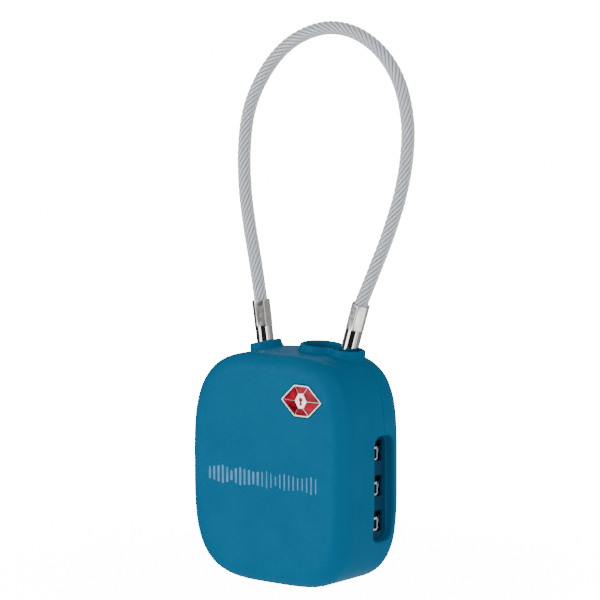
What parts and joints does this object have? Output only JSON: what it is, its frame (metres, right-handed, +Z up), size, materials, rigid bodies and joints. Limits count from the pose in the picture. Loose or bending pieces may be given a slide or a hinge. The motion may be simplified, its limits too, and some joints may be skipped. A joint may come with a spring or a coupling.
{
  "type": "luggage combination padlock",
  "caption": "Cable padlock for luggage: a rounded lock body in a soft silicone sleeve, with a loop of coated steel cable, number wheels in a side window and a key cylinder on top.",
  "frame": {"origin": "on the surface the lock stands on, under the middle of the sleeve", "axes": "+Z up towards the cable loop, +X towards the side with the number wheels, -Y out of the front face with the badge"},
  "size_m": [0.0452, 0.0208, 0.1081],
  "materials": {
    "sleeve": "soft satin teal silicone, moulded in one piece",
    "casing": "dark teal moulded plastic, matte",
    "dials": "black moulded plastic with pale grey printed figures",
    "hidden_steel": "plain zinc-plated steel",
    "ferrules": "bright nickel plate, satin on the crimped part",
    "key_brass": "plain machined brass",
    "bezel": "bright plated rim",
    "enamel": "glossy red enamel",
    "cable": "clear glossy plastic over a twisted steel rope",
    "cylinder": "turned and satin plated"
  },
  "bodies": {
    "lock_body": {"silicone_sleeve": "sleeve", "front_casing": "casing", "rear_casing": "casing", "casing_screw_1": "hidden_steel", "casing_screw_2": "hidden_steel", "casing_screw_3": "hidden_steel", "casing_screw_4": "hidden_steel", "badge_bezel": "bezel", "badge_enamel": "enamel", "cylinder_barrel": "cylinder", "dial_carrier": "hidden_steel", "detent_spring": "hidden_steel", "anchor_pin": "hidden_steel", "fixed_ferrule": "ferrules", "spindle_spring": "hidden_steel", "latch_spring": "hidden_steel"},
    "number_wheel_1": {"dial_1": "dials"},
    "number_wheel_2": {"dial_2": "dials"},
    "number_wheel_3": {"dial_3": "dials"},
    "clutch_ring_1": {"clutch_1": "key_brass"},
    "clutch_ring_2": {"clutch_2": "key_brass"},
    "clutch_ring_3": {"clutch_3": "key_brass"},
    "spindle_shaft": {"spindle": "hidden_steel"},
    "latch": {"latch_plate": "hidden_steel"},
    "key_cylinder_plug": {"key_plug": "key_brass", "key_cam": "hidden_steel"},
    "wafer_1": {"key_wafer_1": "key_brass"},
    "wafer_2": {"key_wafer_2": "key_brass"},
    "wafer_3": {"key_wafer_3": "key_brass"},
    "free_end": {"free_ferrule": "ferrules", "cable": "cable"}
  },
  "joints": [
    {"name": "dial_1_turn", "type": "hinge", "parent": "lock_body", "child": "number_wheel_1", "pos_m": [0.0124, 0.0025, 0.01255], "axis": [0, 0, 1], "continuous": true},
    {"name": "dial_2_turn", "type": "hinge", "parent": "lock_body", "child": "number_wheel_2", "pos_m": [0.0124, 0.0025, 0.0194], "axis": [0, 0, 1], "continuous": true},
    {"name": "dial_3_turn", "type": "hinge", "parent": "lock_body", "child": "number_wheel_3", "pos_m": [0.0124, 0.0025, 0.02625], "axis": [0, 0, 1], "continuous": true},
    {"name": "reset_slide", "type": "slide", "parent": "lock_body", "child": "spindle_shaft", "axis": [0, 0, 1], "range_m": [0, 0.0012], "stiffness_N_per_m": 200, "springref_m": -0.001, "deforming": ["spindle_spring"]},
    {"name": "clutch_1_slide", "type": "slide", "parent": "number_wheel_1", "child": "clutch_ring_1", "axis": [0, 0, 1], "range_m": [0, 0.0012]},
    {"name": "clutch_2_slide", "type": "slide", "parent": "number_wheel_2", "child": "clutch_ring_2", "axis": [0, 0, 1], "range_m": [0, 0.0012]},
    {"name": "clutch_3_slide", "type": "slide", "parent": "number_wheel_3", "child": "clutch_ring_3", "axis": [0, 0, 1], "range_m": [0, 0.0012]},
    {"name": "free_end_pull", "type": "slide", "parent": "lock_body", "child": "free_end", "axis": [0.3007, 0, 0.9537], "range_m": [0, 0.0105]},
    {"name": "latch_slide", "type": "slide", "parent": "lock_body", "child": "latch", "axis": [0, -1, 0], "range_m": [0, 0.0032], "deforming": ["latch_spring"]},
    {"name": "key_turn", "type": "hinge", "parent": "lock_body", "child": "key_cylinder_plug", "pos_m": [0.0036, 0.0025, 0.036], "axis": [0, 0, 1], "range_deg": [0, 90]},
    {"name": "wafer_1_slide", "type": "slide", "parent": "key_cylinder_plug", "child": "wafer_1", "axis": [0, 1, 0], "range_m": [0, 0.0004]},
    {"name": "wafer_2_slide", "type": "slide", "parent": "key_cylinder_plug", "child": "wafer_2", "axis": [0, -1, 0], "range_m": [0, 0.0004]},
    {"name": "wafer_3_slide", "type": "slide", "parent": "key_cylinder_plug", "child": "wafer_3", "axis": [0, 1, 0], "range_m": [0, 0.0004]}
  ],
  "couplings": [
    {"joint": "clutch_1_slide", "follows": "reset_slide", "ratio": 1},
    {"joint": "clutch_2_slide", "follows": "reset_slide", "ratio": 1},
    {"joint": "clutch_3_slide", "follows": "reset_slide", "ratio": 1},
    {"joint": "latch_slide", "follows": "free_end_pull", "ratio": 0.3},
    {"joint": "wafer_2_slide", "follows": "wafer_1_slide", "ratio": 1},
    {"joint": "wafer_3_slide", "follows": "wafer_1_slide", "ratio": 1}
  ]
}
